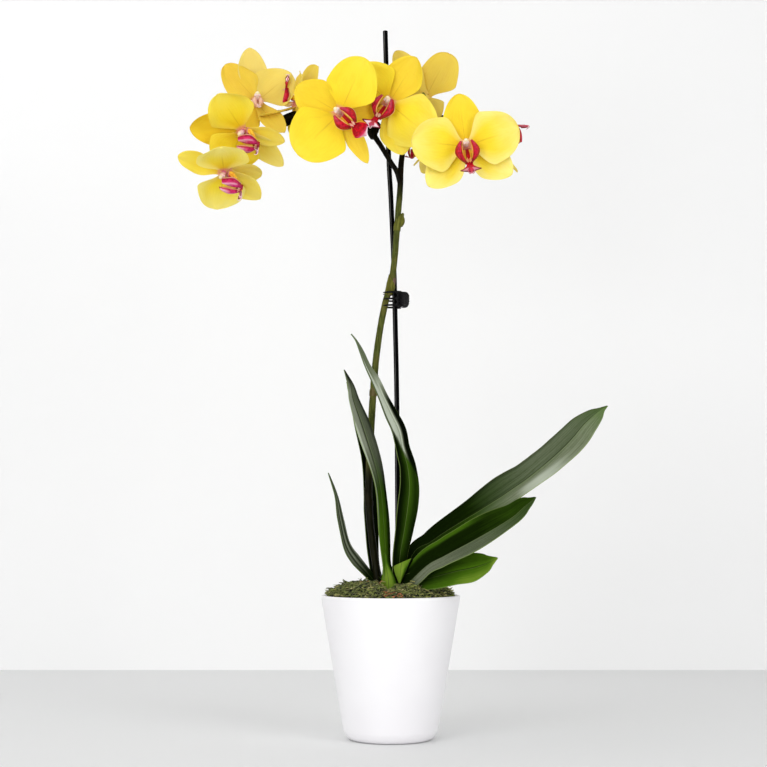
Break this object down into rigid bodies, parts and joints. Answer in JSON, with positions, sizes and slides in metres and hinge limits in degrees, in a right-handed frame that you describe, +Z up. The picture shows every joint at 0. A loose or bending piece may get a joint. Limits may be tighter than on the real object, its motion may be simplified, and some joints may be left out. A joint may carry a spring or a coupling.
{
  "type": "potted orchid",
  "caption": "Potted moth orchid with yellow flowers and crimson lips on a forked, staked spike, strap leaves and moss in a plain white tapered pot.",
  "frame": {"origin": "centre of the pot's flat base", "axes": "+Z up, -Y towards the viewer of the flowers' faces, +X to the viewer's right, where the longest leaf points"},
  "size_m": [0.4029, 0.1467, 0.6715],
  "materials": {
    "pot_glaze": "satin white glaze over white earthenware",
    "bark": "rough chopped bark",
    "moss": "loose dry sphagnum and sheet moss, olive to tan",
    "crown": "fresh green leaf bases, slightly waxy",
    "spike": "olive green waxy stem, dark brown towards the flowers",
    "stake": "black plastic coated cane, glossy",
    "clip_plastic": "dark glossy plastic",
    "clip_steel": "bright spring steel",
    "leaf": "dark green waxy blade, greyer underneath",
    "column": "white to pink, waxy",
    "lip": "crimson to magenta with a yellow callus, waxy",
    "petal": "lemon yellow with paler edges and fine veins, velvety",
    "sepal": "lemon yellow with a paler back, velvety"
  },
  "bodies": {
    "plant": {"pot": "pot_glaze", "growing_medium": "bark", "moss": "moss", "crown": "crown", "flower_spike": "spike", "support_stake": "stake", "clip_back_jaw": "clip_plastic", "clip_pin": "clip_steel", "clip_spring": "clip_steel", "leaf_1": "leaf", "leaf_2": "leaf", "leaf_3": "leaf", "leaf_4": "leaf", "leaf_5": "leaf", "leaf_6": "leaf", "leaf_7": "leaf", "flower_1_column": "column", "flower_1_lip": "lip", "flower_1_petals": "petal", "flower_1_sepals": "sepal", "flower_2_column": "column", "flower_2_lip": "lip", "flower_2_petals": "petal", "flower_2_sepals": "sepal", "flower_3_column": "column", "flower_3_lip": "lip", "flower_3_petals": "petal", "flower_3_sepals": "sepal", "flower_4_column": "column", "flower_4_lip": "lip", "flower_4_petals": "petal", "flower_4_sepals": "sepal", "flower_5_column": "column", "flower_5_lip": "lip", "flower_5_petals": "petal", "flower_5_sepals": "sepal", "flower_6_column": "column", "flower_6_lip": "lip", "flower_6_petals": "petal", "flower_6_sepals": "sepal", "flower_7_column": "column", "flower_7_lip": "lip", "flower_7_petals": "petal", "flower_7_sepals": "sepal", "flower_8_column": "column", "flower_8_lip": "lip", "flower_8_petals": "petal", "flower_8_sepals": "sepal", "flower_9_column": "column", "flower_9_lip": "lip", "flower_9_petals": "petal", "flower_9_sepals": "sepal", "flower_10_column": "column", "flower_10_lip": "lip", "flower_10_petals": "petal", "flower_10_sepals": "sepal"},
    "clip_jaw": {"clip_front_jaw": "clip_plastic"}
  },
  "joints": [
    {"name": "clip_hinge", "type": "hinge", "parent": "plant", "child": "clip_jaw", "pos_m": [0.0102, 0.0012, 0.409], "axis": [0, 0, 1], "range_deg": [0, 32], "stiffness_Nm_per_rad": 0.01, "springref_deg": -20.05}
  ]
}
